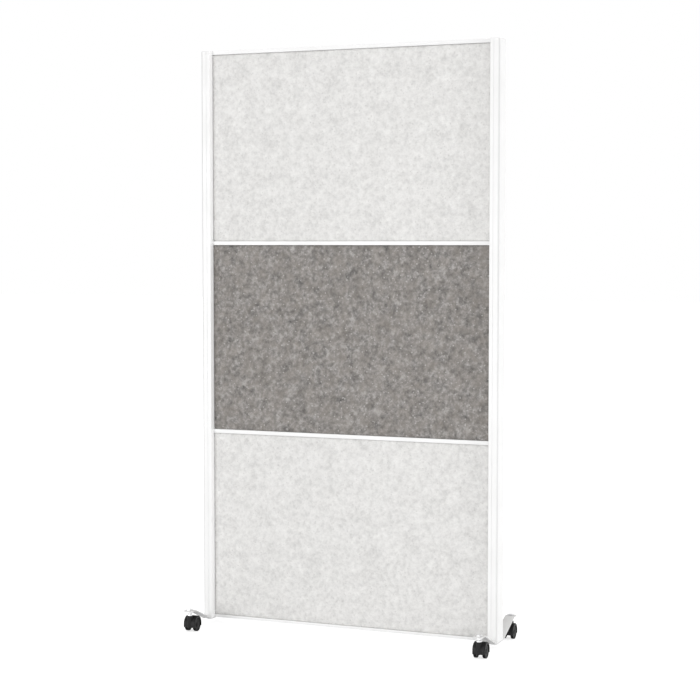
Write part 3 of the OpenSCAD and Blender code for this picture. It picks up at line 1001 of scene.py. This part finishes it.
def fibre_tree():
    """Short bent fibres over a rectangle in the XZ plane. Both ends of each lie in the felt."""
    tree, given, result = new_geometry_tree(
        "loose_fibres",
        [
            ("Width", FLOAT, 0.9),
            ("Height", FLOAT, 0.57),
            ("Place", VECTOR, None),
            ("Out Side", FLOAT, -1.0),
            ("Density", FLOAT, FIBRE_DENSITY),
            ("Span", FLOAT, FIBRE_SPAN),
            ("Arch", FLOAT, FIBRE_ARCH),
            ("Fibre Radius", FLOAT, FIBRE_RADIUS),
            ("Seed", "NodeSocketInt", 1),
            ("Fibre", MATERIAL, None),
        ],
    )
    span = given.outputs["Span"]
    seed = given.outputs["Seed"]
    field = new_node(tree, "GeometryNodeMeshGrid")
    feed(tree, field, Size_X=given.outputs["Width"], Size_Y=given.outputs["Height"])
    feed(tree, field, Vertices_X=2, Vertices_Y=2)
    scattered = new_node(tree, "GeometryNodeDistributePointsOnFaces", distribute_method="RANDOM")
    density = given.outputs["Density"]
    feed(tree, scattered, Mesh=field.outputs["Mesh"], Density=density, Seed=seed)

    # One fibre is a bent thread from the felt up to its crest and down again.
    crest = vector_of(
        tree,
        X=sums(tree, "MULTIPLY", span, FIBRE_CREST_ALONG),
        Y=sums(tree, "MULTIPLY", span, FIBRE_CREST_ASIDE),
        Z=given.outputs["Arch"],
    )
    line = new_node(tree, "GeometryNodeCurveQuadraticBezier")
    feed(tree, line, Resolution=FIBRE_STEPS, Start=(0.0, 0.0, 0.0), Middle=crest)
    feed(tree, line, End=vector_of(tree, X=span))
    ring = new_node(tree, "GeometryNodeCurvePrimitiveCircle", mode="RADIUS")
    feed(tree, ring, Resolution=FIBRE_SIDES, Radius=given.outputs["Fibre Radius"])
    strand = new_node(tree, "GeometryNodeCurveToMesh")
    feed(tree, strand, Curve=line.outputs["Curve"], Profile_Curve=ring.outputs["Curve"])
    feed(tree, strand, Fill_Caps=True)

    heading = random_value(tree, 0.0, math.tau, seed)
    length_seed = sums(tree, "ADD", seed, FIBRE_LENGTH_SEED_SHIFT)
    stretch = random_value(tree, FIBRE_SHORTEST, FIBRE_LONGEST, length_seed)
    placed = new_node(tree, "GeometryNodeInstanceOnPoints")
    feed(
        tree,
        placed,
        Points=scattered.outputs["Points"],
        Instance=strand.outputs["Mesh"],
        Rotation=vector_of(tree, Z=heading),
        Scale=stretch,
    )

    # The field lies in XY with its fibres upwards, so it is turned to face out of the felt.
    tilt = sums(tree, "MULTIPLY", given.outputs["Out Side"], -math.pi / 2)
    carried = new_node(tree, "GeometryNodeTransform")
    feed(
        tree,
        carried,
        Geometry=placed.outputs["Instances"],
        Translation=given.outputs["Place"],
        Rotation=vector_of(tree, X=tilt),
    )
    end_geometry_tree(tree, carried.outputs["Geometry"], given.outputs["Fibre"], result)
    return tree


def make_fibres(finishes):
    tree = fibre_tree()
    seed = FIBRE_FIRST_SEED
    for panel in PANELS:
        shade = felt_shade(panel)
        for face in FACES:
            low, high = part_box(panel + "_" + face + "_felt")
            skin = low.y + FIBRE_SINK if face == "front" else high.y - FIBRE_SINK
            values = {
                "Width": high.x - low.x - 2 * FIBRE_MARGIN,
                "Height": high.z - low.z - 2 * FIBRE_MARGIN,
                "Place": Vector(((low.x + high.x) / 2, skin, (low.z + high.z) / 2)),
                "Out Side": -1.0 if face == "front" else 1.0,
                "Seed": seed,
                "Fibre": finishes[shade],
            }
            fibres = grown(tree, values, panel + "_" + face + "_felt_fibres")
            seed += FIBRE_SEED_STEP
            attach(fibres, "frame")


# The rolled threads of the stems, between each collar and its lower nut

BARE_THREAD = 3.5 * MM
STEM_RADIUS = 5.0 * MM
THREAD_PITCH = 1.5 * MM
THREAD_RIDGE = 0.42 * MM
THREAD_STEPS = 28
THREAD_SIDES = 4


def thread_tree():
    """One ridge that winds round each of four stems, at the corners of a rectangle."""
    tree, given, result = new_geometry_tree(
        "stem_threads",
        [
            ("Stem Radius", FLOAT, STEM_RADIUS),
            ("Pitch", FLOAT, THREAD_PITCH),
            ("Length", FLOAT, 0.003),
            ("Ridge", FLOAT, THREAD_RIDGE),
            ("Across", FLOAT, 0.9),
            ("Deep", FLOAT, 0.3),
            ("Foot Height", FLOAT, 0.05),
            ("Steel", MATERIAL, None),
        ],
    )
    length = given.outputs["Length"]
    winding = new_node(tree, "GeometryNodeCurveSpiral")
    feed(
        tree,
        winding,
        Resolution=THREAD_STEPS,
        Rotations=sums(tree, "DIVIDE", length, given.outputs["Pitch"]),
        Start_Radius=given.outputs["Stem Radius"],
        End_Radius=given.outputs["Stem Radius"],
        Height=length,
    )
    ring = new_node(tree, "GeometryNodeCurvePrimitiveCircle", mode="RADIUS")
    feed(tree, ring, Resolution=THREAD_SIDES, Radius=given.outputs["Ridge"])
    ridge = new_node(tree, "GeometryNodeCurveToMesh")
    feed(tree, ridge, Curve=winding.outputs["Curve"], Profile_Curve=ring.outputs["Curve"])
    feed(tree, ridge, Fill_Caps=True)
    corners = new_node(tree, "GeometryNodeMeshGrid")
    feed(tree, corners, Size_X=given.outputs["Across"], Size_Y=given.outputs["Deep"])
    feed(tree, corners, Vertices_X=2, Vertices_Y=2)
    placed = new_node(tree, "GeometryNodeInstanceOnPoints")
    feed(tree, placed, Points=corners.outputs["Mesh"], Instance=ridge.outputs["Mesh"])
    lift = vector_of(tree, Z=given.outputs["Foot Height"])
    carried = new_node(tree, "GeometryNodeTransform")
    feed(tree, carried, Geometry=placed.outputs["Instances"], Translation=lift)
    end_geometry_tree(tree, carried.outputs["Geometry"], given.outputs["Steel"], result)
    return tree


def make_threads(finishes):
    low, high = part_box("back_right_stem")
    nut_low, nut_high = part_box("lower_lock_nuts")
    values = {
        "Length": BARE_THREAD - 2 * THREAD_RIDGE,
        "Across": low.x + high.x,
        "Deep": low.y + high.y,
        "Foot Height": nut_low.z - BARE_THREAD + THREAD_RIDGE,
        "Steel": finishes["zinc"],
    }
    threads = grown(thread_tree(), values, "stem_threads")
    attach(threads, "frame")


# The floor and the light

FLOOR_SIZE = 60.0
FLOOR_PATCH_SIZE = 0.8
FLOOR_DARKER = grey(0.51)
FLOOR_PALER = grey(0.53)
FLOOR_GLOW = 0.7
LIGHT_LEVEL = 0.98
SIDE_CARD_LEVEL = 0.08
SIDE_CARD_SPREAD = (0.5, 0.85, 1.0, SIDE_CARD_LEVEL)
WHITE = grey(1.0)
LAMP_AIM = (0.0, 0.0, 0.7)

# Each lamp's name, place, size and watts. The light from the right shows in no reflection, so
# the posts' corners stay calm.
FRONT_LAMPS = (
    ("front_softbox", (-4.2, -7.9, 1.1), (3.0, 2.2), 176.0),
    ("low_front_softbox", (1.6, -2.6, 0.27), (1.4, 0.4), 10.0),
)
RIGHT_LAMP = ("right_softbox", (8.8, -1.5, 1.5), (2.0, 3.0), 235.0)


def make_floor():
    """A pale floor that glows to the camera and in reflections, and still takes the shadow."""
    half = FLOOR_SIZE / 2
    mesh = bpy.data.meshes.new("studio_floor")
    mesh.from_pydata(
        [(-half, -half, 0.0), (half, -half, 0.0), (half, half, 0.0), (-half, half, 0.0)],
        [],
        [(0, 1, 2, 3)],
    )
    floor = add_object("studio_floor", mesh)
    paint, tree, shader = new_finish("studio_floor_paint")
    fleck = noise(tree, object_point(tree), FLOOR_PATCH_SIZE, detail=2.0)
    tone = blended(tree, fleck, FLOOR_DARKER, FLOOR_PALER)
    paths = new_node(tree, "ShaderNodeLightPath")
    seen = sums(tree, "ADD", paths.outputs["Is Camera Ray"], paths.outputs["Is Glossy Ray"])
    seen = sums(tree, "ADD", seen, paths.outputs["Is Transmission Ray"], clamp=True)
    glow = sums(tree, "MULTIPLY", seen, FLOOR_GLOW)
    feed(tree, shader, Base_Color=tone, Roughness=0.9, Specular_IOR_Level=0.0)
    feed(tree, shader, Emission_Color=WHITE, Emission_Strength=glow)
    mesh.materials.append(paint)


def make_world():
    """A white studio, with dark cards to the left and right that only reflections show."""
    world = bpy.data.worlds.new("studio")
    world.use_nodes = True
    tree = world.node_tree
    tree.nodes.clear()
    out = new_node(tree, "ShaderNodeOutputWorld")
    paths = new_node(tree, "ShaderNodeLightPath").outputs
    seen = sums(tree, "ADD", paths["Is Camera Ray"], paths["Is Transmission Ray"], clamp=True)
    level = rescaled(tree, seen, 0.0, 1.0, LIGHT_LEVEL, 1.0)
    direction = parts_of(tree, new_node(tree, "ShaderNodeTexCoord").outputs["Generated"])
    mirrored = rescaled(tree, sums(tree, "ABSOLUTE", direction["X"]), *SIDE_CARD_SPREAD)
    change = sums(tree, "SUBTRACT", mirrored, level)
    level = sums(tree, "MULTIPLY_ADD", paths["Is Glossy Ray"], change, level)
    backdrop = feed(tree, new_node(tree, "ShaderNodeBackground"), Color=WHITE, Strength=level)
    link(tree, backdrop.outputs[0], out.inputs["Surface"])
    bpy.context.scene.world = world


def add_lamp(name, place, size, watts):
    data = bpy.data.lights.new(name, "AREA")
    data.shape = "RECTANGLE"
    data.size = size[0]
    data.size_y = size[1]
    data.energy = watts
    lamp = add_object(name, data)
    lamp.location = place
    lamp.rotation_euler = (Vector(LAMP_AIM) - Vector(place)).to_track_quat("-Z", "Y").to_euler()
    return lamp


def make_light():
    make_world()
    for lamp in FRONT_LAMPS:
        add_lamp(*lamp)
    add_lamp(*RIGHT_LAMP).visible_glossy = False


set_camera()
finishes = make_finishes()
dress_nodes(finishes)
make_broken_edges(finishes)
make_felts(finishes)
make_fibres(finishes)
make_threads(finishes)
make_floor()
make_light()

bpy.context.scene.view_settings.view_transform = "Standard"
